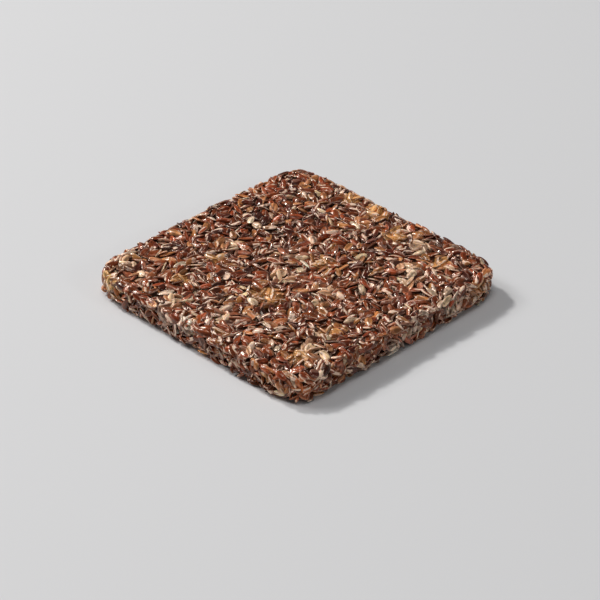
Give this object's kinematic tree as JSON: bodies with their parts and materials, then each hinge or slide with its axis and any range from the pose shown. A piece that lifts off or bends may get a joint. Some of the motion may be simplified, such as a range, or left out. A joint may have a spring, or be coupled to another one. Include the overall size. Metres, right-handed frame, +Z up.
{
  "type": "flaxseed brittle",
  "caption": "Flat square of pressed brown flaxseeds set in glossy syrup, with rounded corners, cut sides and a flat underside.",
  "frame": {"origin": "middle of the flat underside, on the surface that the brittle rests on", "axes": "+Z up out of the seeded top face; X and Y along the sides of the square, with the corner at +X and -Y nearest the camera of the picture"},
  "size_m": [0.0902, 0.0902, 0.0103],
  "materials": {
    "glazed_flaxseed": "glossy brown flaxseeds under a thin amber syrup glaze"
  },
  "bodies": {
    "root": {"flaxseed_brittle": "glazed_flaxseed"}
  },
  "joints": []
}
